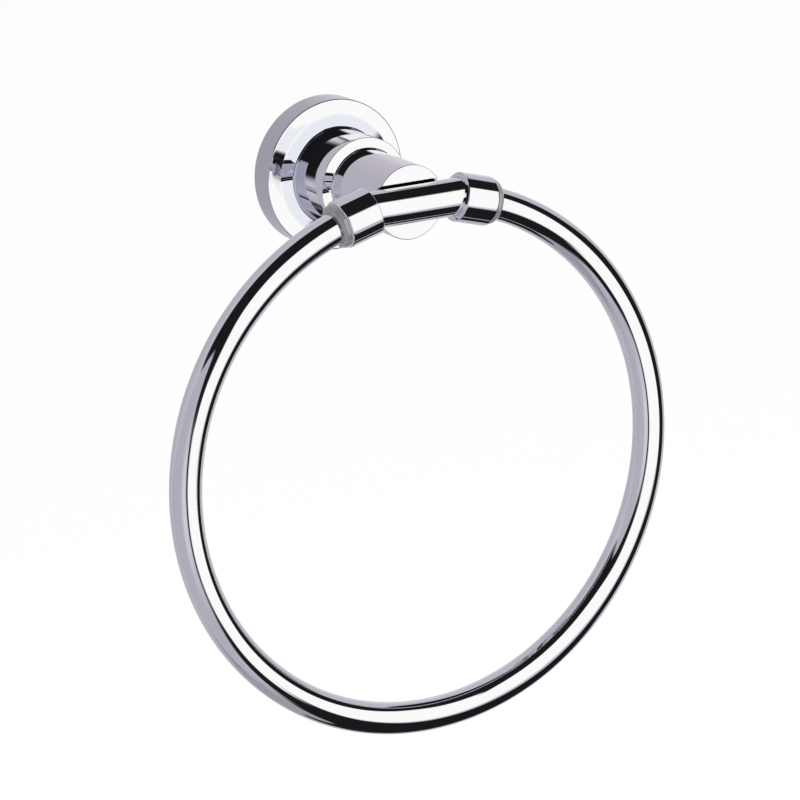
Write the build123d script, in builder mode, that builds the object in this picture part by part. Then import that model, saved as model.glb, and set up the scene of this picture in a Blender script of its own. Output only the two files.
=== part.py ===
"""A towel ring: a round wall bracket that carries a ring of tube on a short crossbar.

Millimetres. The origin is on the wall, at the centre of the flange. +Z is up, +Y runs
into the wall, and the post points to the front, along -Y. "Out" is a distance from the
wall towards the front, and "drop" is a distance below the post's axis.
"""

import os
from math import asin, atan2, cos, degrees, hypot, sin, tan, radians

from build123d import *

os.makedirs("parts", exist_ok=True)

# Bracket: flange, hub and post, one casting that is hollow from the back
flange_d = 50.0
flange_depth = 9.0
hub_d = 31.6
hub_length = 19.6
post_d = 24.4
post_length = 29.8
casting_wall = 2.2
post_end_wall = 8.0
collar_d = 40.8
flange_slope = 3.5
collar_slope = 16.0
hub_slope = 15.0
hub_cove_r = 1.1
post_cove_r = 0.9
flange_edge_r = 0.5
face_edge_r = 0.3

# Crossbar, seated in a shallow saddle across the post's end face
crossbar_d = 12.2
crossbar_bare = 31.3
crossbar_socket = 3.2
crossbar_stand = 2.0
crossbar_edge = 0.4
saddle_d = 15.0
saddle_clearance = 0.05

# Sleeves on the crossbar's ends, each with a plastic bush in its outer mouth
sleeve_d = 16.0
sleeve_length = 11.9
sleeve_wall = 1.4
sleeve_floor = 3.5
sleeve_outer_edge_r = 0.8
sleeve_inner_edge_r = 0.4
bush_depth = 6.0
bush_fit = 0.05
bush_lip_d = 14.8
bush_lip_land = 0.5
bush_lip_length = 2.3
bush_tip_wall = 0.8

# Ring of round tube, open at the top, its straight ends pushed into the bushes
ring_d = 172.0
ring_tube_d = 10.5
ring_tube_wall = 1.2
ring_insert = 6.5
ring_straight = 2.2

# Wall plate inside the flange, and the grub screw that draws the flange onto it
plate_thickness = 5.0
plate_clearance = 0.3
plate_bevel = 26.0
wall_screw_spacing = 28.0
wall_screw_hole_d = 4.8
wall_screw_head_d = 9.0
lug_width = 8.0
lug_height = 3.3
lug_back = 0.6
lug_clearance = 0.8
grub_d = 4.0
grub_out = 3.6
grub_recess = 0.6
grub_tip_d = 2.0
grub_tip_taper = 0.8
grub_socket = 2.0
grub_socket_depth = 2.0
thread_fit = 0.05
seat_gap = 0.05

# Screw inside the post that holds the crossbar in its saddle
screw_d = 5.0
screw_length = 9.6
screw_hole_clearance = 0.2
screw_head_d = 8.6
screw_head_height = 3.0
screw_head_edge_r = 0.8
screw_socket = 3.0
screw_socket_depth = 1.8
tapped_spare = 0.6

# Places that follow from the sizes above
hub_out = flange_depth + hub_length
post_out = hub_out + post_length
ring_out = post_out + crossbar_stand
collar_out = flange_depth + (flange_d - collar_d) / 2 * tan(radians(flange_slope))
hub_foot_out = collar_out + (collar_d - hub_d) / 2 * tan(radians(collar_slope))
post_foot_out = hub_out + (hub_d - post_d) / 2 * tan(radians(hub_slope))
cavity_r = flange_d / 2 - casting_wall
cavity_depth = flange_depth - casting_wall
screw_seat_out = post_out - post_end_wall
saddle_out = ring_out + (saddle_d - crossbar_d) / 2 - saddle_clearance

ring_r = ring_d / 2
tube_r = ring_tube_d / 2
sleeve_inner_x = crossbar_bare / 2
tangent_along = sleeve_length - ring_insert + ring_straight
sleeve_tilt = asin(sleeve_inner_x / hypot(ring_r, tangent_along)) + atan2(tangent_along, ring_r)
ring_drop = tangent_along * sin(sleeve_tilt) + ring_r * cos(sleeve_tilt)

bush_r = sleeve_d / 2 - sleeve_wall - bush_fit
ring_drift = (ring_insert - ring_straight + bush_lip_length) ** 2 / ring_d
bush_bore_r = tube_r + ring_drift + bush_fit

grub_head_drop = flange_d / 2 - grub_recess
plate_flat_drop = cavity_r - lug_height - lug_clearance
grub_tip_drop = (
    plate_flat_drop
    - (plate_thickness - grub_out - grub_tip_d / 2) * tan(radians(plate_bevel))
    + seat_gap
)

# Planes: the wall faces the front, and each sleeve faces outwards from its inner end
wall = Plane.XZ
crossbar_plane = Plane(origin=(0, -ring_out, 0), x_dir=(0, 1, 0), z_dir=(1, 0, 0))
sides = {"left": -1, "right": 1}


def sleeve_plane(side, along):
    """Plane square to a sleeve's axis, a distance along it from its inner end."""
    axis = Vector(side * cos(sleeve_tilt), 0, -sin(sleeve_tilt))
    inner_end = Vector(side * sleeve_inner_x, -ring_out, 0)
    return Plane(origin=inner_end + axis * along, x_dir=(0, 1, 0), z_dir=axis)


def round_edges(builder, plane, diameter):
    """The circular edges of one diameter that lie in one plane."""
    return (
        builder.edges()
        .filter_by(GeomType.CIRCLE)
        .filter_by(lambda edge: abs(edge.radius - diameter / 2) < 1e-4)
        .filter_by(lambda edge: abs(plane.to_local_coords(edge.arc_center).Z) < 1e-4)
    )


def save(piece, name):
    """Label a finished piece and write its file."""
    piece.label = name
    export_step(piece, f"parts/{name}.step")


# Bracket: three steps turned about the post's axis. The faces rise a little towards the middle,
# the flange's more steeply within its collar, and run into the next step in a cove.
with BuildPart() as bracket:
    with BuildSketch():
        with BuildLine():
            Polyline(
                (0, 0),
                (flange_d / 2, 0),
                (flange_d / 2, -flange_depth),
                (collar_d / 2, -collar_out),
                (hub_d / 2, -hub_foot_out),
                (hub_d / 2, -hub_out),
                (post_d / 2, -post_foot_out),
                (post_d / 2, -post_out),
                (0, -post_out),
                close=True,
            )
        make_face()
    revolve(axis=Axis.Y)
    fillet(round_edges(bracket, wall.offset(hub_foot_out), hub_d), hub_cove_r)
    fillet(round_edges(bracket, wall.offset(post_foot_out), post_d), post_cove_r)
    fillet(round_edges(bracket, wall.offset(flange_depth), flange_d), flange_edge_r)
    fillet(round_edges(bracket, wall.offset(hub_out), hub_d), face_edge_r)
    fillet(round_edges(bracket, wall.offset(post_out), post_d), face_edge_r)
    # Hollow back: the cavity for the wall plate, then the bores up the hub and the post
    for bore_r, bore_depth in (
        (cavity_r, cavity_depth),
        (hub_d / 2 - casting_wall, hub_out - casting_wall),
        (post_d / 2 - casting_wall, screw_seat_out),
    ):
        with BuildSketch(wall):
            Circle(bore_r)
        extrude(amount=bore_depth, mode=Mode.SUBTRACT)
    # Lug behind the rim, at the bottom, for the grub screw's thread
    with BuildSketch(wall.offset(lug_back)):
        with Locations((0, -cavity_r)):
            Rectangle(lug_width, 2 * lug_height)
        Circle(flange_d / 2 - casting_wall / 2, mode=Mode.INTERSECT)
    extrude(amount=cavity_depth - lug_back)
    with BuildSketch(Plane.XY.offset(-flange_d / 2)):
        with Locations((0, -grub_out)):
            Circle(grub_d / 2 + thread_fit)
    extrude(amount=casting_wall + lug_height + lug_clearance, mode=Mode.SUBTRACT)
    # Saddle across the end face, wider than the crossbar, which seats on the bottom of it
    with BuildSketch(Plane(origin=(0, -saddle_out, 0), x_dir=(0, 1, 0), z_dir=(1, 0, 0))):
        Circle(saddle_d / 2)
    extrude(amount=post_d, both=True, mode=Mode.SUBTRACT)
    # The screw's hole through the end wall
    with BuildSketch(wall.offset(screw_seat_out)):
        Circle(screw_d / 2 + screw_hole_clearance)
    extrude(amount=post_end_wall, mode=Mode.SUBTRACT)
save(bracket.part, "bracket")

# Crossbar: a solid bar with a tapped hole in its back for the screw
with BuildPart() as crossbar:
    with BuildSketch(crossbar_plane):
        Circle(crossbar_d / 2)
    extrude(amount=sleeve_inner_x + crossbar_socket, both=True)
    chamfer(crossbar.edges().filter_by(GeomType.CIRCLE), crossbar_edge)
    with BuildSketch(wall.offset(screw_seat_out)):
        Circle(screw_d / 2 + thread_fit)
    extrude(amount=screw_length + tapped_spare, mode=Mode.SUBTRACT)
save(crossbar.part, "crossbar")

# Crossbar screw: a button head with a hexagon socket, its head inside the post
head_back = wall.offset(screw_seat_out - screw_head_height)
with BuildPart() as crossbar_screw:
    with BuildSketch(wall.offset(screw_seat_out)):
        Circle(screw_d / 2)
    extrude(amount=screw_length)
    with BuildSketch(head_back):
        Circle(screw_head_d / 2)
    extrude(amount=screw_head_height)
    fillet(round_edges(crossbar_screw, head_back, screw_head_d), screw_head_edge_r)
    with BuildSketch(head_back):
        RegularPolygon(screw_socket / 2, 6, major_radius=False)
    extrude(amount=screw_socket_depth, mode=Mode.SUBTRACT)
save(crossbar_screw.part, "crossbar_screw")


def make_sleeve(side):
    """A cup: the crossbar enters its floor at an angle, and the bush its mouth."""
    inner = sleeve_plane(side, 0)
    mouth = sleeve_plane(side, sleeve_length)
    with BuildPart() as sleeve:
        with BuildSketch(inner):
            Circle(sleeve_d / 2)
        extrude(amount=sleeve_length)
        fillet(round_edges(sleeve, mouth, sleeve_d), sleeve_outer_edge_r)
        fillet(round_edges(sleeve, inner, sleeve_d), sleeve_inner_edge_r)
        with BuildSketch(sleeve_plane(side, sleeve_floor)):
            Circle(sleeve_d / 2 - sleeve_wall)
        extrude(amount=sleeve_length - sleeve_floor, mode=Mode.SUBTRACT)
        with BuildSketch(crossbar_plane):
            Circle(crossbar_d / 2 + saddle_clearance)
        extrude(amount=side * (sleeve_inner_x + crossbar_socket + seat_gap), mode=Mode.SUBTRACT)
    return sleeve.part


def make_bush(side):
    """A flanged plastic bush, turned about the sleeve's axis, with a rounded lip outside."""
    mouth = sleeve_plane(side, sleeve_length)
    profile_plane = Plane(
        origin=mouth.origin,
        x_dir=mouth.x_dir,
        z_dir=mouth.x_dir.cross(mouth.z_dir),
    )
    lip_r = bush_lip_d / 2
    tip_r = bush_bore_r + bush_tip_wall
    with BuildPart() as bush:
        with BuildSketch(profile_plane):
            with BuildLine():
                Polyline(
                    (tip_r, bush_lip_length),
                    (bush_bore_r, bush_lip_length),
                    (bush_bore_r, -bush_depth),
                    (bush_r, -bush_depth),
                    (bush_r, 0),
                    (lip_r, 0),
                    (lip_r, bush_lip_land),
                )
                TangentArc((lip_r, bush_lip_land), (tip_r, bush_lip_length), tangent=(0, 1))
            make_face()
        revolve(axis=Axis(mouth.origin, mouth.z_dir))
    return bush.part


for side_name, side in sides.items():
    save(make_sleeve(side), f"sleeve_{side_name}")
    save(make_bush(side), f"bush_{side_name}")

# Ring: a bent tube from one tangent point round to the other, with a straight end at each
ring_axis = Axis((0, -ring_out, -ring_drop), (0, 1, 0))
with BuildPart() as ring:
    with BuildSketch(sleeve_plane(-1, tangent_along)):
        Circle(tube_r)
        Circle(tube_r - ring_tube_wall, mode=Mode.SUBTRACT)
    revolve(axis=ring_axis, revolution_arc=-(360 - 2 * degrees(sleeve_tilt)))
    for side in sides.values():
        with BuildSketch(sleeve_plane(side, tangent_along)):
            Circle(tube_r)
            Circle(tube_r - ring_tube_wall, mode=Mode.SUBTRACT)
        extrude(amount=-ring_straight)
save(ring.part, "ring")

# Wall plate: fills the flange's cavity, with an undercut flat at the bottom for the grub screw
with BuildPart() as wall_plate:
    with BuildSketch(wall):
        Circle(cavity_r - plate_clearance)
        with Locations((0, -plate_flat_drop)):
            Rectangle(flange_d, flange_d, align=(Align.CENTER, Align.MAX), mode=Mode.SUBTRACT)
    extrude(amount=plate_thickness)
    with BuildSketch(Plane.YZ):
        Polygon(
            (0, -plate_flat_drop),
            (-plate_thickness, -plate_flat_drop),
            (0, -plate_flat_drop + plate_thickness * tan(radians(plate_bevel))),
            align=None,
        )
    extrude(amount=flange_d / 2, both=True, mode=Mode.SUBTRACT)
    with Locations(wall.offset(plate_thickness)):
        with GridLocations(wall_screw_spacing, 0, 2, 1):
            CounterSinkHole(wall_screw_hole_d / 2, wall_screw_head_d / 2)
save(wall_plate.part, "wall_plate")

# Grub screw: in the lug from below, its tip against the plate's undercut
with BuildPart() as grub_screw:
    with BuildSketch(Plane.XY.offset(-grub_head_drop)):
        with Locations((0, -grub_out)):
            Circle(grub_d / 2)
    extrude(amount=grub_head_drop - grub_tip_drop - grub_tip_taper)
    with BuildSketch(Plane.XY.offset(-grub_tip_drop - grub_tip_taper)):
        with Locations((0, -grub_out)):
            Circle(grub_d / 2)
    with BuildSketch(Plane.XY.offset(-grub_tip_drop)):
        with Locations((0, -grub_out)):
            Circle(grub_tip_d / 2)
    loft()
    with BuildSketch(Plane.XY.offset(-grub_head_drop)):
        with Locations((0, -grub_out)):
            RegularPolygon(grub_socket / 2, 6, major_radius=False)
    extrude(amount=grub_socket_depth, mode=Mode.SUBTRACT)
save(grub_screw.part, "grub_screw")
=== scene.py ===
# %% [markdown]
# # A chrome towel ring
# A round wall bracket holds a ring of bent tube in front of the wall. The solids of the part
# come in as a fixed frame, in metres, with the wall at Y = 0 and the front along -Y. Mirror
# chrome shows every facet of a coarse mesh, so the pieces that show are turned and swept again
# here with fine, smooth surfaces of the same form. The wall plate and the two screws lie inside
# the bracket and keep their solids.

# %% Load the frame
import math

import bmesh
import bpy
from mathutils import Matrix, Vector


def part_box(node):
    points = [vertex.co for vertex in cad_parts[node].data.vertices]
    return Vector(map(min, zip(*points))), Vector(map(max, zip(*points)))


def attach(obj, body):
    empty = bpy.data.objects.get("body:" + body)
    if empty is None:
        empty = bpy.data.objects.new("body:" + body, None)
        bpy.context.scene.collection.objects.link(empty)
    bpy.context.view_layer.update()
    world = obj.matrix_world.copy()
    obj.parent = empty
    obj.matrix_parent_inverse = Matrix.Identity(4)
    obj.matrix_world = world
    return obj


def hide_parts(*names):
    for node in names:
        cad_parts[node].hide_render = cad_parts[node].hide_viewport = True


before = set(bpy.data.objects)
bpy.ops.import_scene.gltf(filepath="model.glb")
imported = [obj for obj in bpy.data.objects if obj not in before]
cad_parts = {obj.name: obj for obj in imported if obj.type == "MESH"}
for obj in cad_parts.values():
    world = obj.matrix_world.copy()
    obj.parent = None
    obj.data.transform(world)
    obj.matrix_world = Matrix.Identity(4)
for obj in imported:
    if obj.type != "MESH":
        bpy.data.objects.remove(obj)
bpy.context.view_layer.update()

MM = 0.001
print("nodes:", sorted(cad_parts))

# %% [markdown]
# ## Camera
# The camera is set before anything else, because every later step is seen through it. It stands
# to the left of the post and above it, far away behind a long lens, so that the ring's ellipse
# keeps its shape from near side to far side. The small roll is the tilt of the crossbar.

# %% Camera
camera_lens_mm = 270.0
camera_sensor_mm = 36.0
camera_azimuth = math.radians(-29.175)
camera_elevation = math.radians(15.102)
camera_roll = math.radians(-1.935)
camera_distance = 1933.9 * MM
camera_aim = Vector((-3.13, -52.82, -66.03)) * MM
camera_view_end = 100.0


def place_camera():
    """A camera on a sphere about its aim, rolled about its own view line."""
    back = Vector((
        math.sin(camera_azimuth) * math.cos(camera_elevation),
        -math.cos(camera_azimuth) * math.cos(camera_elevation),
        math.sin(camera_elevation),
    ))
    level = Vector((math.cos(camera_azimuth), math.sin(camera_azimuth), 0))
    turn = Matrix.Rotation(camera_roll, 3, back)
    right = turn @ level
    up = turn @ back.cross(level)
    lens = bpy.data.cameras.new("camera")
    lens.lens = camera_lens_mm
    lens.sensor_width = camera_sensor_mm
    lens.clip_end = camera_view_end
    camera = bpy.data.objects.new("camera", lens)
    bpy.context.scene.collection.objects.link(camera)
    camera.matrix_world = Matrix.Translation(camera_aim + back * camera_distance) @ Matrix(
        (right, up, back)
    ).transposed().to_4x4()
    bpy.context.scene.camera = camera
    return camera


camera = place_camera()
print("camera at", [round(x, 4) for x in camera.location], "m")

# %% [markdown]
# ## Sizes
# What the frame's boxes can tell is read from them: the flange, the post's reach, the tube and the
# ring. The steps, walls and edges between them are the same named sizes that the solids have. The
# sleeves' tilt isn't chosen: it follows from the ring, the crossbar and the tube's straight ends.

# %% Sizes
bracket_low, bracket_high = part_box("bracket")
flange_r = bracket_high.x
post_out = -bracket_low.y
flange_depth = 9.0 * MM
hub_out = 28.6 * MM
hub_r = 15.8 * MM
post_r = 12.2 * MM
casting_wall = 2.2 * MM
post_end_wall = 8.0 * MM
collar_r = 20.4 * MM
flange_slope = math.radians(3.5)
collar_slope = math.radians(16.0)
hub_slope = math.radians(15.0)
hub_cove_r = 1.1 * MM
post_cove_r = 0.9 * MM
flange_edge_r = 0.5 * MM
face_edge_r = 0.3 * MM
screw_hole_r = 2.7 * MM

ring_low, ring_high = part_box("ring")
tube_r = (ring_high.y - ring_low.y) / 2
tube_wall = 1.2 * MM
ring_r = ring_high.x - tube_r
ring_out = -(ring_high.y + ring_low.y) / 2
ring_insert = 6.5 * MM
ring_straight = 2.2 * MM

_, crossbar_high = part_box("crossbar")
crossbar_r = crossbar_high.z
crossbar_half = crossbar_high.x
crossbar_socket = 3.2 * MM
crossbar_edge = 0.4 * MM
saddle_r = 7.5 * MM
screw_seat_out = post_out - post_end_wall
screw_length = 9.6 * MM
tapped_spare = 0.6 * MM
tapped_r = 2.55 * MM
tapped_out = screw_seat_out + screw_length + tapped_spare

sleeve_r = 8.0 * MM
sleeve_length = 11.9 * MM
sleeve_wall = 1.4 * MM
sleeve_floor = 3.5 * MM
sleeve_outer_edge_r = 0.8 * MM
sleeve_inner_edge_r = 0.4 * MM
fit = 0.05 * MM
sleeve_inner_x = crossbar_half - crossbar_socket
tangent_along = sleeve_length - ring_insert + ring_straight
sleeve_tilt = math.asin(sleeve_inner_x / math.hypot(ring_r, tangent_along))
sleeve_tilt += math.atan2(tangent_along, ring_r)
ring_drop = tangent_along * math.sin(sleeve_tilt) + ring_r * math.cos(sleeve_tilt)
print(f"ring {2 * ring_r / MM:.1f} mm, tube {2 * tube_r / MM:.2f} mm, drop {ring_drop / MM:.2f} mm")
print(f"sleeves tilt {math.degrees(sleeve_tilt):.2f} degrees")

# %% [markdown]
# ## Sections
# The casting, the crossbar, the sleeves and the bushes are all round, so each is a section turned
# about an axis. A section is a list of corners, each with its own rounding. Every straight stretch
# gets an extra loop just inside its ends, which keeps the flat faces truly flat when the mesh is
# shaded smooth. That matters more in a mirror finish than the number of faces does.

# %% Sections
arc_steps = 8
loop_inset = 0.03 * MM
loop_inset_limit = 0.25


def rounded_corner(before, corner, after, radius):
    """Points of the arc that rounds one corner of a section."""
    to_before = (before - corner).normalized()
    to_after = (after - corner).normalized()
    half = to_before.angle(to_after) / 2
    reach = radius / math.tan(half)
    centre = corner + (to_before + to_after).normalized() * radius / math.sin(half)
    start = corner + to_before * reach - centre
    end = corner + to_after * reach - centre
    sweep = start.angle_signed(end)
    return [centre + Matrix.Rotation(-sweep * i / arc_steps, 2) @ start for i in range(arc_steps + 1)]


def section(corners, closed=True):
    """A section's points, as (radius, along), from corners given as (radius, along, rounding)."""
    flat = [Vector(c[:2]) for c in corners]
    runs = []
    for i, (_, _, rounding) in enumerate(corners):
        inside = closed or 0 < i < len(corners) - 1
        if rounding and inside:
            runs.append(rounded_corner(flat[i - 1], flat[i], flat[(i + 1) % len(flat)], rounding))
        else:
            runs.append([flat[i]])
    points = []
    for i, run in enumerate(runs):
        points += run
        if not closed and i == len(runs) - 1:
            break
        start, end = run[-1], runs[(i + 1) % len(runs)][0]
        inset = min(loop_inset / (end - start).length, loop_inset_limit)
        points += [start.lerp(end, inset), start.lerp(end, 1 - inset)]
    return points


print("sections have", arc_steps, "steps in each rounding")

# %% [markdown]
# ## Turning
# A modifier could turn a section too. Building the faces directly lets the lathe lie along any axis
# of the part, so that no piece has to be turned into place afterwards: each is made where it belongs.

# %% Turning
turn_steps = 256
crease_angle = math.radians(30)
merge_distance = 1e-7


def axes_of(origin, along):
    """Matrix from a lathe's own axes, Z along the spindle, to the part's frame."""
    spindle = Vector(along).normalized()
    return Matrix.Translation(origin) @ spindle.to_track_quat("Z", "Y").to_matrix().to_4x4()


def smooth_with_creases(mesh):
    """Smooth shading, split only at the true edges."""
    mesh.shade_smooth()
    mesh.set_sharp_from_angle(angle=crease_angle)


def turned(name, points, lathe, closed=True):
    """A new object: the section turned all the way about the lathe's axis."""
    made = bmesh.new()
    rings = []
    for step in range(turn_steps):
        turn = 2 * math.pi * step / turn_steps
        rings.append([
            made.verts.new(lathe @ Vector((p.x * math.cos(turn), p.x * math.sin(turn), p.y)))
            for p in points
        ])
    for step, here in enumerate(rings):
        there = rings[(step + 1) % turn_steps]
        for i in range(len(points) if closed else len(points) - 1):
            k = (i + 1) % len(points)
            made.faces.new((here[i], here[k], there[k], there[i]))
    bmesh.ops.remove_doubles(made, verts=made.verts, dist=merge_distance)
    bmesh.ops.recalc_face_normals(made, faces=made.faces)
    mesh = bpy.data.meshes.new(name)
    made.to_mesh(mesh)
    made.free()
    smooth_with_creases(mesh)
    piece = bpy.data.objects.new(name, mesh)
    bpy.context.scene.collection.objects.link(piece)
    return piece


print("turned pieces have", turn_steps, "steps round")

# %% [markdown]
# ## Cutting
# What isn't round is cut out or joined on with a boolean, as a workshop would drill or solder it. Each
# modifier is made plain at once and its tool thrown away, so the scene keeps only finished pieces.

# %% Cutting
def settle(piece):
    """Turn a piece's modifiers into a plain mesh and remove them."""
    depsgraph = bpy.context.evaluated_depsgraph_get()
    mesh = bpy.data.meshes.new_from_object(piece.evaluated_get(depsgraph), depsgraph=depsgraph)
    piece.modifiers.clear()
    old = piece.data
    piece.data = mesh
    bpy.data.meshes.remove(old)
    mesh.name = piece.name
    return piece


def cut(piece, tool, operation="DIFFERENCE"):
    """Cut one piece with another, or join them, and throw the tool away."""
    boolean = piece.modifiers.new("cut", "BOOLEAN")
    boolean.object = tool
    boolean.operation = operation
    boolean.solver = "EXACT"
    settle(piece)
    smooth_with_creases(piece.data)
    bpy.data.objects.remove(tool)
    return piece


def rod(name, radius, start, end):
    """A plain rod between two points, as a cutting tool."""
    start, end = Vector(start), Vector(end)
    length = (end - start).length
    points = section([(0, 0, 0), (radius, 0, 0), (radius, length, 0), (0, length, 0)], closed=False)
    return turned(name, points, axes_of(start, end - start), closed=False)


def report(piece):
    """Print how large a finished mesh is."""
    triangles = sum(len(p.vertices) - 2 for p in piece.data.polygons)
    size = [round(x / MM, 2) for x in piece.dimensions]
    print(f"{piece.name}: {triangles} triangles, {size} mm")


# %% [markdown]
# ## Bracket
# Flange, hub and post are one casting, hollow from the back so that it slips over the wall plate.
# The faces aren't square to the post: the flange rises a little, then more steeply in a collar round
# the hub, and the hub's front rises to the post. That slope is what throws dark reflections onto the
# next step. Each step meets the next in a small cove, and every outer edge is just broken. One section
# gives the whole shell.

# %% Bracket
cavity_r = flange_r - casting_wall
cavity_depth = flange_depth - casting_wall
collar_out = flange_depth + (flange_r - collar_r) * math.tan(flange_slope)
hub_foot_out = collar_out + (collar_r - hub_r) * math.tan(collar_slope)
post_foot_out = hub_out + (hub_r - post_r) * math.tan(hub_slope)
saddle_out = ring_out + saddle_r - crossbar_r - fit
front_lathe = axes_of((0, 0, 0), (0, -1, 0))
bracket = turned("bracket_casting", section([
    (cavity_r, 0, 0),
    (flange_r, 0, 0),
    (flange_r, flange_depth, flange_edge_r),
    (collar_r, collar_out, 0),
    (hub_r, hub_foot_out, hub_cove_r),
    (hub_r, hub_out, face_edge_r),
    (post_r, post_foot_out, post_cove_r),
    (post_r, post_out, face_edge_r),
    (screw_hole_r, post_out, 0),
    (screw_hole_r, screw_seat_out, 0),
    (post_r - casting_wall, screw_seat_out, 0),
    (post_r - casting_wall, hub_out - casting_wall, 0),
    (hub_r - casting_wall, hub_out - casting_wall, 0),
    (hub_r - casting_wall, cavity_depth, 0),
    (cavity_r, cavity_depth, 0),
]), front_lathe)
report(bracket)

# %% [markdown]
# ## Saddle, lug and grub hole
# The saddle for the crossbar and the lug for the grub screw aren't round, so they are cut and joined
# afterwards. The saddle is wider than the crossbar, which leaves a dark slot along both sides of it.
# The lug stands behind the rim, where only the wall sees it.

# %% Saddle, lug and grub hole
lug_half = 4.0 * MM
lug_height = 3.3 * MM
lug_back = 0.6 * MM
lug_clearance = 0.8 * MM
grub_out = 3.6 * MM
grub_hole_r = 2.05 * MM
grub_hole_low = -2 * flange_r
grub_hole_top = lug_height + lug_clearance - cavity_r


def lug_block():
    """The block behind the rim, at the bottom, that gives the grub screw its thread."""
    sunk_r = flange_r - casting_wall / 2
    low = -math.sqrt(sunk_r ** 2 - lug_half ** 2)
    high = lug_height - cavity_r
    made = bmesh.new()
    bmesh.ops.create_cube(made, size=1)
    for corner in made.verts:
        corner.co = Vector((
            lug_half * (1 if corner.co.x > 0 else -1),
            -cavity_depth if corner.co.y < 0 else -lug_back,
            high if corner.co.z > 0 else low,
        ))
    mesh = bpy.data.meshes.new("lug")
    made.to_mesh(mesh)
    made.free()
    block = bpy.data.objects.new("lug", mesh)
    bpy.context.scene.collection.objects.link(block)
    return block


cut(bracket, rod("saddle", saddle_r, (-flange_r, -saddle_out, 0), (flange_r, -saddle_out, 0)))
cut(bracket, lug_block(), "UNION")
cut(bracket, rod("grub_hole", grub_hole_r, (0, -grub_out, grub_hole_low), (0, -grub_out, grub_hole_top)))
report(bracket)

# %% [markdown]
# ## Crossbar
# A straight bar, seated across the end of the post. Its ends hide in the sleeves, and a tapped hole in
# its back takes the screw from inside the post. It could be a plain cylinder, but the broken edges come
# for nothing from a section.

# %% Crossbar
crossbar = turned("crossbar_rod", section([
    (0, -crossbar_half, 0),
    (crossbar_r - crossbar_edge, -crossbar_half, 0),
    (crossbar_r, -crossbar_half + crossbar_edge, 0),
    (crossbar_r, crossbar_half - crossbar_edge, 0),
    (crossbar_r - crossbar_edge, crossbar_half, 0),
    (0, crossbar_half, 0),
], closed=False), axes_of((0, -ring_out, 0), (1, 0, 0)), closed=False)
cut(crossbar, rod("tapped_hole", tapped_r, (0, -screw_seat_out, 0), (0, -tapped_out, 0)))
report(crossbar)

# %% [markdown]
# ## Sleeves
# A sleeve is a short cup that caps each end of the crossbar and leans with the ring. It is turned about
# its own leaning axis, and then drilled along the crossbar, because the two axes aren't in line.

# %% Sleeves
def sleeve_lathe(side, along):
    """Lathe axes on a sleeve, a distance along it from its inner end."""
    axis = Vector((side * math.cos(sleeve_tilt), 0, -math.sin(sleeve_tilt)))
    return axes_of(Vector((side * sleeve_inner_x, -ring_out, 0)) + axis * along, axis)


def make_sleeve(side, name):
    """A cup with a floor, drilled for the crossbar."""
    bore_r = sleeve_r - sleeve_wall
    sleeve = turned(name, section([
        (0, 0, 0),
        (sleeve_r, 0, sleeve_inner_edge_r),
        (sleeve_r, sleeve_length, sleeve_outer_edge_r),
        (bore_r, sleeve_length, 0),
        (bore_r, sleeve_floor, 0),
        (0, sleeve_floor, 0),
    ], closed=False), sleeve_lathe(side, 0), closed=False)
    reach = side * (crossbar_half + fit)
    cut(sleeve, rod("bar_hole", crossbar_r + fit, (0, -ring_out, 0), (reach, -ring_out, 0)))
    return sleeve


print(f"sleeves start {sleeve_inner_x / MM:.2f} mm from the middle")

# %% [markdown]
# ## Bushes
# The bush in a sleeve's mouth is a soft plastic collar with a rounded lip. The tube has already begun
# to bend where it comes out, and the plastic gives way to it, so the bore is turned straight in short
# steps and each step is then shifted to where the tube is.

# %% Bushes
bush_r = sleeve_r - sleeve_wall - fit
bush_depth = 6.0 * MM
bush_lip_r = 7.4 * MM
bush_lip_land = 0.5 * MM
bush_lip_length = 2.3 * MM
bush_tip_wall = 0.8 * MM
bush_bore_r = tube_r + fit
bush_bore_steps = 12
lip_steps = 16


def tube_drift(along):
    """How far the bent tube has left the sleeve's axis, a distance along it from the sleeve's mouth."""
    return max(0, along + ring_insert - ring_straight) ** 2 / (2 * ring_r)


bush_tip_r = bush_bore_r + tube_drift(bush_lip_length) + bush_tip_wall


def lip_curve():
    """The lip's rounded outside: an arc that leaves the lip's edge straight along the axis."""
    width = bush_lip_r - bush_tip_r
    rise = bush_lip_length - bush_lip_land
    radius = (width ** 2 + rise ** 2) / (2 * width)
    sweep = math.asin(rise / radius)
    return [
        (bush_lip_r - radius * (1 - math.cos(a)), bush_lip_land + radius * math.sin(a), 0)
        for a in (sweep * i / lip_steps for i in range(lip_steps + 1))
    ]


def make_bush(side, name):
    """A bush whose bore bends with the tube, because the soft plastic grips it."""
    lathe = sleeve_lathe(side, sleeve_length)
    bore_step = (bush_lip_length + bush_depth) / bush_bore_steps
    bush = turned(name, section([
        *((bush_bore_r, bush_lip_length - bore_step * i, 0) for i in range(bush_bore_steps + 1)),
        (bush_r, -bush_depth, 0),
        (bush_r, 0, 0),
        (bush_lip_r, 0, 0),
        *lip_curve(),
    ]), lathe)
    inward = Vector((-side * math.sin(sleeve_tilt), 0, -math.cos(sleeve_tilt)))
    bore_limit = bush_bore_r + 2 * loop_inset
    to_lathe = lathe.inverted()
    for corner in bush.data.vertices:
        local = to_lathe @ corner.co
        if local.xy.length < bore_limit:
            corner.co += inward * tube_drift(local.z)
    return bush


sleeves = {}
bushes = {}
for side_name, side in (("left", -1), ("right", 1)):
    sleeves[side_name] = make_sleeve(side, f"sleeve_cup_{side_name}")
    bushes[side_name] = make_bush(side, f"bush_collar_{side_name}")
    report(sleeves[side_name])
    report(bushes[side_name])

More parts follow.
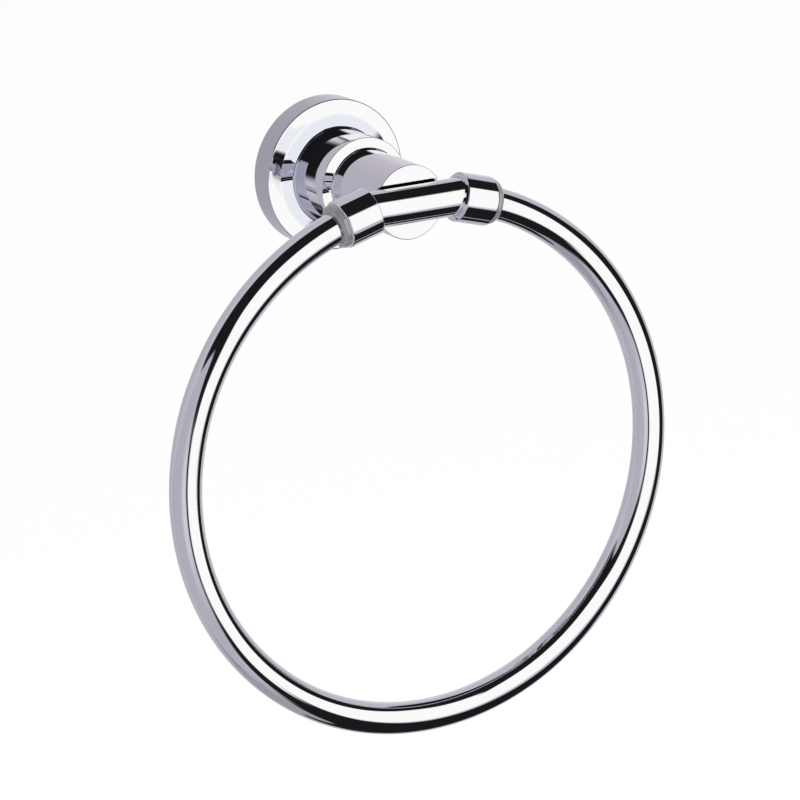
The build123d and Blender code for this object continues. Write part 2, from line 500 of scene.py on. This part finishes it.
# %% [markdown]
# ## Ring
# The ring is one tube, bent round and left open at the top, with a short straight at each end. Its
# whole path follows one rule: the angle round the ring, held at its two limits, gives a point on
# the circle, and what is left of the length runs straight on. That is a job for Geometry Nodes: a
# line of points takes its place by the rule, and a round section is swept along it.

# %% Ring as a node tree
ring_path_steps = 480
ring_section_steps = 64


def math_node(tree, operation, first, second=None, third=None):
    """A Math node fed by sockets or plain numbers."""
    node = tree.nodes.new("ShaderNodeMath")
    node.operation = operation
    for socket, value in zip(node.inputs, (first, second, third)):
        if value is None:
            continue
        if isinstance(value, (int, float)):
            socket.default_value = value
        else:
            tree.links.new(value, socket)
    return node.outputs[0]


def bent_tube_tree():
    """Named sizes in, an open bent tube with its material out."""
    tree = bpy.data.node_groups.new("bent_ring_tube", "GeometryNodeTree")
    sockets = tree.interface
    sockets.new_socket("Geometry", in_out="INPUT", socket_type="NodeSocketGeometry")
    for label in ("Ring Radius", "Tube Radius", "Half Arc", "Straight End", "Out", "Drop"):
        sockets.new_socket(label, in_out="INPUT", socket_type="NodeSocketFloat")
    for label in ("Path Steps", "Section Steps"):
        sockets.new_socket(label, in_out="INPUT", socket_type="NodeSocketInt")
    sockets.new_socket("Finish", in_out="INPUT", socket_type="NodeSocketMaterial")
    sockets.new_socket("Geometry", in_out="OUTPUT", socket_type="NodeSocketGeometry")
    new, link = tree.nodes.new, tree.links.new
    given = new("NodeGroupInput").outputs

    line = new("GeometryNodeCurvePrimitiveLine")
    points = new("GeometryNodeResampleCurve")
    link(line.outputs["Curve"], points.inputs["Curve"])
    link(given["Path Steps"], points.inputs["Count"])

    index = new("GeometryNodeInputIndex").outputs["Index"]
    last = math_node(tree, "SUBTRACT", given["Path Steps"], 1)
    share = math_node(tree, "DIVIDE", index, last)
    arc = math_node(tree, "MULTIPLY", given["Half Arc"], given["Ring Radius"])
    half_length = math_node(tree, "ADD", arc, given["Straight End"])
    centred = math_node(tree, "SUBTRACT", math_node(tree, "MULTIPLY", share, 2), 1)
    travel = math_node(tree, "MULTIPLY", centred, half_length)
    free_angle = math_node(tree, "DIVIDE", travel, given["Ring Radius"])
    capped = math_node(tree, "MINIMUM", free_angle, given["Half Arc"])
    angle = math_node(tree, "MAXIMUM", capped, math_node(tree, "MULTIPLY", given["Half Arc"], -1))
    on_arc = math_node(tree, "MULTIPLY", angle, given["Ring Radius"])
    beyond = math_node(tree, "SUBTRACT", travel, on_arc)
    sine = math_node(tree, "SINE", angle)
    cosine = math_node(tree, "COSINE", angle)
    x = math_node(tree, "ADD", math_node(tree, "MULTIPLY", sine, given["Ring Radius"]),
                  math_node(tree, "MULTIPLY", cosine, beyond))
    below = math_node(tree, "SUBTRACT", math_node(tree, "MULTIPLY", sine, beyond),
                      math_node(tree, "MULTIPLY", cosine, given["Ring Radius"]))
    z = math_node(tree, "SUBTRACT", below, given["Drop"])
    place = new("ShaderNodeCombineXYZ")
    link(x, place.inputs["X"])
    link(math_node(tree, "MULTIPLY", given["Out"], -1), place.inputs["Y"])
    link(z, place.inputs["Z"])
    path = new("GeometryNodeSetPosition")
    link(points.outputs["Curve"], path.inputs["Geometry"])
    link(place.outputs["Vector"], path.inputs["Position"])

    profile = new("GeometryNodeCurvePrimitiveCircle")
    link(given["Section Steps"], profile.inputs["Resolution"])
    link(given["Tube Radius"], profile.inputs["Radius"])
    sweep = new("GeometryNodeCurveToMesh")
    link(path.outputs["Geometry"], sweep.inputs["Curve"])
    link(profile.outputs["Curve"], sweep.inputs["Profile Curve"])
    real = new("GeometryNodeRealizeInstances")
    link(sweep.outputs["Mesh"], real.inputs["Geometry"])
    finish = new("GeometryNodeSetMaterial")
    link(real.outputs["Geometry"], finish.inputs["Geometry"])
    link(given["Finish"], finish.inputs["Material"])
    link(finish.outputs["Geometry"], new("NodeGroupOutput").inputs["Geometry"])
    return tree


bent_tube = bent_tube_tree()
print("ring tree with", len(bent_tube.nodes), "nodes")

# %% [markdown]
# ## The tube's wall
# The tree gives only the outside of the tube. A second, narrower tube could make the inside, but a
# modifier that thickens the skin inwards does it in one step. The outside stays at its size, and the
# open ends show a wall and not a paper edge.

# %% The tube's wall
def set_inputs(modifier, values):
    """Give a node tree's named inputs their values, by the sockets' identifiers."""
    for item in modifier.node_group.interface.items_tree:
        if item.in_out == "INPUT" and item.name in values:
            modifier[item.identifier] = values[item.name]


def make_ring(material):
    """The swept tube, given its wall."""
    ring = bpy.data.objects.new("ring_tube", bpy.data.meshes.new("ring_tube"))
    bpy.context.scene.collection.objects.link(ring)
    bent = ring.modifiers.new("bent_tube", "NODES")
    bent.node_group = bent_tube
    set_inputs(bent, {
        "Ring Radius": ring_r,
        "Tube Radius": tube_r,
        "Half Arc": math.pi - sleeve_tilt,
        "Straight End": ring_straight,
        "Out": ring_out,
        "Drop": ring_drop,
        "Path Steps": ring_path_steps,
        "Section Steps": ring_section_steps,
        "Finish": material,
    })
    settle(ring)
    wall = ring.modifiers.new("wall", "SOLIDIFY")
    wall.thickness = tube_wall
    wall.offset = -1
    settle(ring)
    smooth_with_creases(ring.data)
    return ring


print("tube wall", round(tube_wall / MM, 2), "mm")

# %% [markdown]
# ## Finishes
# Four kinds of surface: chrome, the chrome of the casting, milky plastic, and dull plated steel. They
# all need the same few moves with nodes: a cloud over the piece, a spread between two values, and one
# colour laid over another. These come first.

# %% Finish helpers
def input_socket(group, label, kind, value):
    """Add a named input with a starting value to a node group."""
    socket = group.interface.new_socket(label, in_out="INPUT", socket_type=kind)
    socket.default_value = value


def new_finish(name):
    """An empty material with its shader, ready for a finish."""
    material = bpy.data.materials.new(name)
    material.use_nodes = True
    shader = material.node_tree.nodes["Principled BSDF"]
    return material, material.node_tree, shader


def cloud(tree, where, scale, detail):
    """Soft noise over a piece, from its own coordinates."""
    noise = tree.nodes.new("ShaderNodeTexNoise")
    noise.inputs["Detail"].default_value = detail
    tree.links.new(where, noise.inputs["Vector"])
    tree.links.new(scale, noise.inputs["Scale"])
    return noise.outputs["Fac"]


def between(tree, share, low, high):
    """Spread a 0 to 1 value over the range between two inputs."""
    spread = tree.nodes.new("ShaderNodeMapRange")
    tree.links.new(share, spread.inputs["Value"])
    tree.links.new(low, spread.inputs["To Min"])
    tree.links.new(high, spread.inputs["To Max"])
    return spread.outputs["Result"]


def blend_colours(tree, share, first, second):
    """Mix two colours by a 0 to 1 value."""
    mix = tree.nodes.new("ShaderNodeMix")
    mix.data_type = "RGBA"
    tree.links.new(share, mix.inputs["Factor"])
    tree.links.new(first, mix.inputs["A"])
    tree.links.new(second, mix.inputs["B"])
    return mix.outputs["Result"]


def paint_over(tree, mask, below, paint):
    """Lay one plain colour over what is below it, where a mask says so."""
    mix = tree.nodes.new("ShaderNodeMix")
    mix.data_type = "RGBA"
    tree.links.new(mask, mix.inputs["Factor"])
    if isinstance(below, tuple):
        mix.inputs["A"].default_value = below
    else:
        tree.links.new(below, mix.inputs["A"])
    mix.inputs["B"].default_value = paint
    return mix.outputs["Result"]


print("materials before the finishes:", len(bpy.data.materials))

# %% [markdown]
# ## Chrome
# Chrome gets nearly all of its look from what it mirrors, so its own nodes only break up the
# perfection: a soft cloud of haze in the roughness and the faintest change of tint. The same cloud
# serves the casting, the bar and the tube, each at its own scale, so it is a node group.

# %% Chrome
haze_detail = 4


def polish_haze_group():
    """Haze left by polishing: a drifting tint and a drifting roughness."""
    group = bpy.data.node_groups.new("polish_haze", "ShaderNodeTree")
    input_socket(group, "Cloud Scale", "NodeSocketFloat", 60)
    input_socket(group, "Clear Roughness", "NodeSocketFloat", 0.02)
    input_socket(group, "Hazy Roughness", "NodeSocketFloat", 0.05)
    input_socket(group, "Cool Tint", "NodeSocketColor", (0.83, 0.855, 0.90, 1))
    input_socket(group, "Warm Tint", "NodeSocketColor", (0.85, 0.865, 0.90, 1))
    group.interface.new_socket("Tint", in_out="OUTPUT", socket_type="NodeSocketColor")
    group.interface.new_socket("Roughness", in_out="OUTPUT", socket_type="NodeSocketFloat")
    given = group.nodes.new("NodeGroupInput").outputs
    where = group.nodes.new("ShaderNodeTexCoord").outputs["Object"]
    share = cloud(group, where, given["Cloud Scale"], haze_detail)
    out = group.nodes.new("NodeGroupOutput").inputs
    group.links.new(blend_colours(group, share, given["Cool Tint"], given["Warm Tint"]), out["Tint"])
    rough = between(group, share, given["Clear Roughness"], given["Hazy Roughness"])
    group.links.new(rough, out["Roughness"])
    return group


polish_haze = polish_haze_group()


def chrome_parts(name, cloud_scale, clear, hazy):
    """A chrome material, with its node tree and its shader."""
    material, tree, shader = new_finish(name)
    haze = tree.nodes.new("ShaderNodeGroup")
    haze.node_tree = polish_haze
    haze.inputs["Cloud Scale"].default_value = cloud_scale
    haze.inputs["Clear Roughness"].default_value = clear
    haze.inputs["Hazy Roughness"].default_value = hazy
    shader.inputs["Metallic"].default_value = 1
    tree.links.new(haze.outputs["Tint"], shader.inputs["Base Color"])
    tree.links.new(haze.outputs["Roughness"], shader.inputs["Roughness"])
    return material, tree, shader


bar_chrome, *_ = chrome_parts("bar_chrome", cloud_scale=90, clear=0.010, hazy=0.022)
tube_chrome, *_ = chrome_parts("tube_chrome", cloud_scale=60, clear=0.010, hazy=0.025)
print("chrome:", bar_chrome.name, tube_chrome.name)

# %% [markdown]
# ## Chrome of the casting
# The casting is chrome as on the other pieces, with shade painted into its colour: a darker, bluish
# painted shade in the collar round the hub and a darker painted shade on the flange's rim, each with a
# soft border. Both places are rings about the post, so the distance from its axis makes their masks, and
# the collar's also stops where the hub's cove begins.

# %% Chrome of the casting
# painted shade: a darker, bluish tone for the collar and a darker grey for the rim, laid over the
# chrome's colour
painted_collar_shade = (0.71, 0.74, 0.84, 1)
collar_fade = 0.9 * MM
painted_rim_shade = (0.645, 0.66, 0.695, 1)
rim_fade = 0.3 * MM


def rising(tree, value, low, high):
    """Zero up to one value, one from another on, and a soft step between them."""
    step = tree.nodes.new("ShaderNodeMapRange")
    step.interpolation_type = "SMOOTHSTEP"
    tree.links.new(value, step.inputs["Value"])
    step.inputs["From Min"].default_value = low
    step.inputs["From Max"].default_value = high
    return step.outputs["Result"]


def painted_shade_places(tree):
    """Masks of the collar round the hub and of the flange's rim, where shade is painted into the chrome.
    """
    split = tree.nodes.new("ShaderNodeSeparateXYZ")
    tree.links.new(tree.nodes.new("ShaderNodeTexCoord").outputs["Object"], split.inputs["Vector"])
    x, y, z = split.outputs
    x_squared = math_node(tree, "MULTIPLY", x, x)
    z_squared = math_node(tree, "MULTIPLY", z, z)
    radius = math_node(tree, "SQRT", math_node(tree, "ADD", x_squared, z_squared))
    outside_collar = rising(tree, radius, collar_r - collar_fade, collar_r)
    behind_hub = math_node(tree, "GREATER_THAN", y, -hub_foot_out)
    collar = math_node(tree, "MULTIPLY", math_node(tree, "SUBTRACT", 1, outside_collar), behind_hub)
    rim = rising(tree, radius, flange_r - rim_fade, flange_r - rim_fade / 2)
    return collar, rim


def casting_finish(name):
    """Chrome as on the other pieces, with painted shade in the collar and round the rim."""
    material, tree, shader = chrome_parts(name, cloud_scale=45, clear=0.012, hazy=0.028)
    tint = shader.inputs["Base Color"].links[0].from_socket
    # lay the painted shade over the chrome's colour in the collar and round the rim
    for mask, shade_tone in zip(painted_shade_places(tree), (painted_collar_shade, painted_rim_shade)):
        tint = paint_over(tree, mask, tint, shade_tone)
    tree.links.new(tint, shader.inputs["Base Color"])
    return material


casting_chrome = casting_finish("casting_chrome")
print("chrome:", casting_chrome.name)

# %% [markdown]
# ## Bush plastic
# The bushes are a milky, slightly see-through plastic with a shiny skin. A coat gives the skin its
# clear reflections, light goes a little way into the body, and a slow cloud stands for the moulding's
# uneven milk. True transparency isn't needed, because the lip is thick and lies on chrome.

# %% Bush plastic
bush_cloud_scale = 60
bush_cloud_detail = 1
bush_shades = {0.3: (0.21, 0.195, 0.22, 1), 0.7: (0.26, 0.245, 0.265, 1)}
bush_skin = {
    "Roughness": 0.2,
    "IOR": 1.6,
    "Coat Weight": 1,
    "Coat IOR": 1.8,
    "Coat Roughness": 0.06,
    "Subsurface Weight": 0.3,
    "Subsurface Radius": (1.0, 1.0, 1.0),
    "Subsurface Scale": 1.2 * MM,
}


def bush_finish():
    """Milky plastic: light goes a little way in, and the moulding is slightly cloudy."""
    material, tree, shader = new_finish("milky_bush_plastic")
    where = tree.nodes.new("ShaderNodeTexCoord").outputs["Object"]
    noise = tree.nodes.new("ShaderNodeTexNoise")
    noise.inputs["Scale"].default_value = bush_cloud_scale
    noise.inputs["Detail"].default_value = bush_cloud_detail
    tree.links.new(where, noise.inputs["Vector"])
    ramp = tree.nodes.new("ShaderNodeValToRGB")
    for stop, (position, colour) in zip(ramp.color_ramp.elements, bush_shades.items()):
        stop.position = position
        stop.color = colour
    tree.links.new(noise.outputs["Fac"], ramp.inputs["Fac"])
    tree.links.new(ramp.outputs["Color"], shader.inputs["Base Color"])
    for label, value in bush_skin.items():
        shader.inputs[label].default_value = value
    return material


bush_plastic = bush_finish()
print("plastic:", bush_plastic.name)

# %% [markdown]
# ## Plated steel
# The plate and the screws are zinc plated and dull. Zinc grows in flat crystals, which cells of slightly
# different grey show well, under a fine grain. Plate and screws share the pattern at their own scales,
# so it is a second node group.

# %% Plated steel
crystal_share = 0.6
grain_share = 0.4
grain_detail = 6
plate_dark = (0.52, 0.53, 0.55, 1)
plate_light = (0.66, 0.67, 0.69, 1)
screw_dark = (0.42, 0.42, 0.44, 1)
screw_light = (0.55, 0.55, 0.57, 1)


def plating_grain_group():
    """Dull zinc: flat crystals of slightly different grey, under a fine grain."""
    group = bpy.data.node_groups.new("plating_grain", "ShaderNodeTree")
    input_socket(group, "Crystal Scale", "NodeSocketFloat", 500)
    input_socket(group, "Dark Grey", "NodeSocketColor", plate_dark)
    input_socket(group, "Light Grey", "NodeSocketColor", plate_light)
    input_socket(group, "Bright Roughness", "NodeSocketFloat", 0.32)
    input_socket(group, "Dull Roughness", "NodeSocketFloat", 0.52)
    group.interface.new_socket("Grey", in_out="OUTPUT", socket_type="NodeSocketColor")
    group.interface.new_socket("Roughness", in_out="OUTPUT", socket_type="NodeSocketFloat")
    given = group.nodes.new("NodeGroupInput").outputs
    where = group.nodes.new("ShaderNodeTexCoord").outputs["Object"]
    crystals = group.nodes.new("ShaderNodeTexVoronoi")
    group.links.new(where, crystals.inputs["Vector"])
    group.links.new(given["Crystal Scale"], crystals.inputs["Scale"])
    tone = group.nodes.new("ShaderNodeSeparateColor")
    group.links.new(crystals.outputs["Color"], tone.inputs["Color"])
    grain = cloud(group, where, given["Crystal Scale"], grain_detail)
    fine = math_node(group, "MULTIPLY", grain, grain_share)
    share = math_node(group, "MULTIPLY_ADD", tone.outputs["Red"], crystal_share, fine)
    out = group.nodes.new("NodeGroupOutput").inputs
    group.links.new(blend_colours(group, share, given["Dark Grey"], given["Light Grey"]), out["Grey"])
    rough = between(group, share, given["Bright Roughness"], given["Dull Roughness"])
    group.links.new(rough, out["Roughness"])
    return group


plating_grain = plating_grain_group()


def plated_finish(name, crystal_scale, dark, light):
    """Dull plated metal, in its own greys."""
    material, tree, shader = new_finish(name)
    grain = tree.nodes.new("ShaderNodeGroup")
    grain.node_tree = plating_grain
    grain.inputs["Crystal Scale"].default_value = crystal_scale
    grain.inputs["Dark Grey"].default_value = dark
    grain.inputs["Light Grey"].default_value = light
    shader.inputs["Metallic"].default_value = 1
    tree.links.new(grain.outputs["Grey"], shader.inputs["Base Color"])
    tree.links.new(grain.outputs["Roughness"], shader.inputs["Roughness"])
    return material


plate_zinc = plated_finish("plate_zinc", crystal_scale=500, dark=plate_dark, light=plate_light)
screw_steel = plated_finish("screw_steel", crystal_scale=1500, dark=screw_dark, light=screw_light)
print("finishes:", [m.name for m in bpy.data.materials if m.use_nodes])

# %% [markdown]
# ## Putting it together
# The ring is made with its finish as an input of its node tree. Every new piece then takes the
# place of the solid that has its form, and the plate and the screws get their finish.

# %% Ring, finishes and places
ring = make_ring(tube_chrome)
report(ring)
for piece, node, slot, material in (
    (bracket, "bracket", "chrome_casting", casting_chrome),
    (crossbar, "crossbar", "chrome_bar", bar_chrome),
    (sleeves["left"], "sleeve_left", "chrome_bar", bar_chrome),
    (sleeves["right"], "sleeve_right", "chrome_bar", bar_chrome),
    (bushes["left"], "bush_left", "bush_plastic", bush_plastic),
    (bushes["right"], "bush_right", "bush_plastic", bush_plastic),
    (ring, "ring", "chrome_tube", tube_chrome),
):
    piece.data.materials.clear()
    piece.data.materials.append(material)
    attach(piece, "root")
    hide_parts(node)
for node, material in (
    ("wall_plate", plate_zinc),
    ("grub_screw", screw_steel),
    ("crossbar_screw", screw_steel),
):
    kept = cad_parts[node]
    kept.data.materials.clear()
    kept.data.materials.append(material)
    print(node, "keeps its solid, in", material.name)

# %% [markdown]
# ## Studio cards
# A mirror needs a room: a pale grey-violet tent, a large white card in front of the ring, and black cards
# round that one, which give chrome its dark stripes. The tent is darker in its folds and brighter where
# light comes through. Each card has a place, a size and a lean, as seen from the middle of the room.

# %% Studio cards
tent_grey = (0.59, 0.545, 0.60, 1)
tent_dusk = (0.51, 0.475, 0.535, 1)
tent_shade = (0.38, 0.355, 0.395, 1)
tent_glow = (0.74, 0.70, 0.75, 1)
black_card = (0.012, 0.011, 0.012, 1)
white_card = (1.14, 1.11, 1.065, 1)
card_sizes = (
    "Middle Azimuth", "Middle Elevation", "Half Width", "Half Height", "Lean", "Squareness", "Soft Edge",
)


def card(paint, azimuth, elevation, half_width, half_height, lean=0, squareness=6, soft_edge=3):
    """A card's paint and its named sizes, in degrees as seen from the dome's middle."""
    sizes = (azimuth, elevation, half_width, half_height, lean, squareness, soft_edge)
    return paint, dict(zip(card_sizes, sizes))


# where two cards overlap, the later one is in front
studio_cards = {
    "dusk behind, left": card(tent_dusk, -152, 5, 30, 60, squareness=2, soft_edge=50),
    "glow behind, right": card(tent_glow, 140, 5, 18, 25, squareness=2, soft_edge=28),
    "shade underfoot": card(tent_shade, 0, -90, 400, 30, soft_edge=24),
    "black roof": card(black_card, -6, 57, 86, 32, lean=1),
    "black front": card(black_card, 11, 16, 77, 25, lean=-16),
    "black right": card(black_card, 58, -2, 20, 56, lean=-5),
    "black low right": card(black_card, 44, -46, 61, 15, lean=-13),
    "black high right": card(black_card, 82, 63, 31, 22, lean=4),
    "black underfoot": card(black_card, 86, -75, 95, 18, lean=-14, squareness=4),
    "black strip, left": card(black_card, -27, 3, 7, 25, lean=-11, squareness=3),
    "black edge, low left": card(black_card, -70.5, -31.5, 41.5, 37.5, lean=-1, squareness=3),
    "tent, high left": card(tent_dusk, -66, 0, 32, 27, lean=12, squareness=2.5),
    "tent, low left": card(tent_dusk, -67, -30, 44, 38, lean=-6, squareness=3),
    "glow, low left": card(tent_glow, -36, -14, 12, 16, squareness=2, soft_edge=20),
    "black line, low left": card(black_card, -20, -13, 3.5, 16, lean=19, squareness=3, soft_edge=2),
    "white front": card(white_card, 4, 4, 21, 31, lean=13, squareness=4),
    "white right": card(white_card, 34, 10, 15, 28, lean=1),
    "white middle": card(white_card, 2, 3, 9, 21, lean=-1),
    "black high left": card(black_card, -34, 28, 10, 27, lean=26),
    "white foot": card(white_card, 8, -24, 7, 7, squareness=4),
}
print("cards:", len(studio_cards))

# %% [markdown]
# ## One card as a mask
# Every card is the same shape with other sizes: a leaning rectangle with round corners and a soft edge.
# A superellipse has such corners, and one number makes it rounder or squarer. So one node group turns
# a direction and the sizes into a mask.

# %% One card as a mask
def studio_card_group():
    """Mask of one leaning card with round corners, from a direction in degrees."""
    group = bpy.data.node_groups.new("studio_card", "ShaderNodeTree")
    for label in ("Azimuth", "Elevation", *card_sizes):
        input_socket(group, label, "NodeSocketFloat", 1)
    group.interface.new_socket("Mask", in_out="OUTPUT", socket_type="NodeSocketFloat")
    given = group.nodes.new("NodeGroupInput").outputs

    def calc(operation, *values):
        return math_node(group, operation, *values)

    across = calc("WRAP", calc("SUBTRACT", given["Azimuth"], given["Middle Azimuth"]), 180, -180)
    upward = calc("SUBTRACT", given["Elevation"], given["Middle Elevation"])
    lean = calc("RADIANS", given["Lean"])
    sine = calc("SINE", lean)
    cosine = calc("COSINE", lean)
    along_width = calc("ADD", calc("MULTIPLY", across, cosine), calc("MULTIPLY", upward, sine))
    along_height = calc("SUBTRACT", calc("MULTIPLY", upward, cosine), calc("MULTIPLY", across, sine))
    power = given["Squareness"]
    wide = calc("POWER", calc("DIVIDE", calc("ABSOLUTE", along_width), given["Half Width"]), power)
    tall = calc("POWER", calc("DIVIDE", calc("ABSOLUTE", along_height), given["Half Height"]), power)
    reach = calc("POWER", calc("ADD", wide, tall), calc("DIVIDE", 1, power))
    smaller = calc("MINIMUM", given["Half Width"], given["Half Height"])
    half_edge = calc("DIVIDE", calc("MULTIPLY", given["Soft Edge"], 0.5), smaller)
    fade = group.nodes.new("ShaderNodeMapRange")
    fade.interpolation_type = "SMOOTHSTEP"
    group.links.new(reach, fade.inputs["Value"])
    group.links.new(calc("SUBTRACT", 1, half_edge), fade.inputs["From Min"])
    group.links.new(calc("ADD", 1, half_edge), fade.inputs["From Max"])
    fade.inputs["To Min"].default_value = 1
    fade.inputs["To Max"].default_value = 0
    group.links.new(fade.outputs["Result"], group.nodes.new("NodeGroupOutput").inputs["Mask"])
    return group


card_group = studio_card_group()
print("card mask with", len(card_group.nodes), "nodes")

# %% [markdown]
# ## Studio dome
# The cards are painted on a dome round the ring, which only reflections see. A world background could
# hold them too, but it is endlessly far away. The dome has a real size, because the crossbar and the
# foot of the ring are far enough apart to see the same card at different heights.

# %% Studio dome
dome_centre = Vector((-20, 115, -58)) * MM
dome_r = 890 * MM
dome_segments = 96
dome_rows = 48


def dome_paint():
    """The studio, painted by direction from the dome's middle."""
    material = bpy.data.materials.new("studio_paint")
    material.use_nodes = True
    tree = material.node_tree
    tree.nodes.clear()
    new, link = tree.nodes.new, tree.links.new
    outward = new("ShaderNodeVectorMath")
    outward.operation = "SUBTRACT"
    link(new("ShaderNodeTexCoord").outputs["Object"], outward.inputs[0])
    outward.inputs[1].default_value = dome_centre
    direction = new("ShaderNodeVectorMath")
    direction.operation = "NORMALIZE"
    link(outward.outputs["Vector"], direction.inputs[0])
    split = new("ShaderNodeSeparateXYZ")
    link(direction.outputs["Vector"], split.inputs["Vector"])
    x, y, z = split.outputs
    front = math_node(tree, "MULTIPLY", y, -1)
    azimuth = math_node(tree, "DEGREES", math_node(tree, "ARCTAN2", x, front))
    elevation = math_node(tree, "DEGREES", math_node(tree, "ARCSINE", z))
    colour = tent_grey
    for paint, sizes in studio_cards.values():
        mask = new("ShaderNodeGroup")
        mask.node_tree = card_group
        link(azimuth, mask.inputs["Azimuth"])
        link(elevation, mask.inputs["Elevation"])
        for label, size in sizes.items():
            mask.inputs[label].default_value = size
        colour = paint_over(tree, mask.outputs["Mask"], colour, paint)
    glow = new("ShaderNodeEmission")
    link(colour, glow.inputs["Color"])
    link(glow.outputs[0], new("ShaderNodeOutputMaterial").inputs["Surface"])
    material.cycles.emission_sampling = "NONE"
    return material


def make_dome():
    """A dome that reflections see and nothing else does."""
    made = bmesh.new()
    bmesh.ops.create_uvsphere(made, u_segments=dome_segments, v_segments=dome_rows, radius=dome_r)
    bmesh.ops.translate(made, verts=made.verts, vec=dome_centre)
    mesh = bpy.data.meshes.new("studio_dome")
    made.to_mesh(mesh)
    made.free()
    mesh.materials.append(dome_paint())
    dome = bpy.data.objects.new("studio_dome", mesh)
    bpy.context.scene.collection.objects.link(dome)
    dome.visible_camera = False
    dome.visible_diffuse = False
    dome.visible_transmission = False
    dome.visible_volume_scatter = False
    dome.visible_shadow = False
    return dome


dome = make_dome()
print(f"{dome.name}: {2 * dome_r:.2f} m across")

# %% [markdown]
# ## Soft light and background
# The plastic and the floor need plain soft light from everywhere, and the picture needs white paper
# behind the part. One world gives both: it is white to whoever looks at it, and a little dimmer to
# the surfaces that it lights.

# %% Soft light and background
soft_light = 0.9
paper_white = (1, 1, 1, 1)


def make_surroundings():
    """White where it is looked at, and plain soft light everywhere else."""
    world = bpy.data.worlds.new("surroundings")
    world.use_nodes = True
    bpy.context.scene.world = world
    tree = world.node_tree
    tree.nodes.clear()
    new, link = tree.nodes.new, tree.links.new
    path = new("ShaderNodeLightPath").outputs
    soft = new("ShaderNodeBackground")
    soft.inputs["Color"].default_value = paper_white
    soft.inputs["Strength"].default_value = soft_light
    paper = new("ShaderNodeBackground")
    paper.inputs["Color"].default_value = paper_white
    seen = math_node(tree, "MAXIMUM", path["Is Camera Ray"], path["Is Transmission Ray"])
    seen = math_node(tree, "MAXIMUM", seen, path["Is Glossy Ray"])
    either = new("ShaderNodeMixShader")
    link(seen, either.inputs["Fac"])
    link(soft.outputs[0], either.inputs[1])
    link(paper.outputs[0], either.inputs[2])
    link(either.outputs[0], new("ShaderNodeOutputWorld").inputs["Surface"])


make_surroundings()
print("soft light", soft_light)

# %% [markdown]
# ## Floor and lamp
# The part hangs on a wall, so the floor lies well below it. It is pale paper that glows a little, which
# keeps it white in the picture and still lets a soft shadow fall on it. From below it is clear, so the
# part can be looked at from there. One large lamp gives the plastic a lit side.

# %% Floor and lamp
floor_drop = 0.6
floor_half = 4.0
floor_glow = 0.8
floor_paper = (0.97, 0.97, 0.97, 1)
floor_roughness = 0.9
lamp_place = (1.2, -1.0, 0.9)
lamp_size = 1.2
lamp_energy = 22


def make_floor():
    """A pale floor that reads as white and keeps a soft shadow, seen only from above."""
    mesh = bpy.data.meshes.new("floor")
    signs = [(-1, -1), (1, -1), (1, 1), (-1, 1)]
    corners = [(x * floor_half, y * floor_half, -floor_drop) for x, y in signs]
    mesh.from_pydata(corners, [], [(0, 1, 2, 3)])
    floor = bpy.data.objects.new("floor", mesh)
    bpy.context.scene.collection.objects.link(floor)
    material, tree, shader = new_finish("floor_paper")
    shader.inputs["Base Color"].default_value = floor_paper
    shader.inputs["Roughness"].default_value = floor_roughness
    shader.inputs["Specular IOR Level"].default_value = 0
    new, link = tree.nodes.new, tree.links.new
    path = new("ShaderNodeLightPath").outputs
    looked_at = math_node(tree, "MAXIMUM", path["Is Camera Ray"], path["Is Transmission Ray"])
    glow = new("ShaderNodeEmission")
    share = math_node(tree, "MULTIPLY", looked_at, floor_glow)
    lit = new("ShaderNodeMixShader")
    link(share, lit.inputs["Fac"])
    link(shader.outputs[0], lit.inputs[1])
    link(glow.outputs[0], lit.inputs[2])
    clear = new("ShaderNodeBsdfTransparent")
    one_sided = new("ShaderNodeMixShader")
    link(new("ShaderNodeNewGeometry").outputs["Backfacing"], one_sided.inputs["Fac"])
    link(lit.outputs[0], one_sided.inputs[1])
    link(clear.outputs[0], one_sided.inputs[2])
    link(one_sided.outputs[0], tree.nodes["Material Output"].inputs["Surface"])
    mesh.materials.append(material)
    floor.visible_glossy = False
    return floor


def make_lamp():
    """One large soft lamp, above and to the right."""
    light = bpy.data.lights.new("soft_lamp", "AREA")
    light.size = lamp_size
    light.energy = lamp_energy
    lamp = bpy.data.objects.new("soft_lamp", light)
    bpy.context.scene.collection.objects.link(lamp)
    lamp.location = lamp_place
    lamp.rotation_euler = (camera_aim - lamp.location).to_track_quat("-Z", "Y").to_euler()
    lamp.visible_glossy = False
    return lamp


floor = make_floor()
lamp = make_lamp()
bpy.context.scene.view_settings.view_transform = "Standard"
print(f"{floor.name} {floor_drop} m below the post, {lamp.name} {lamp_energy} W")
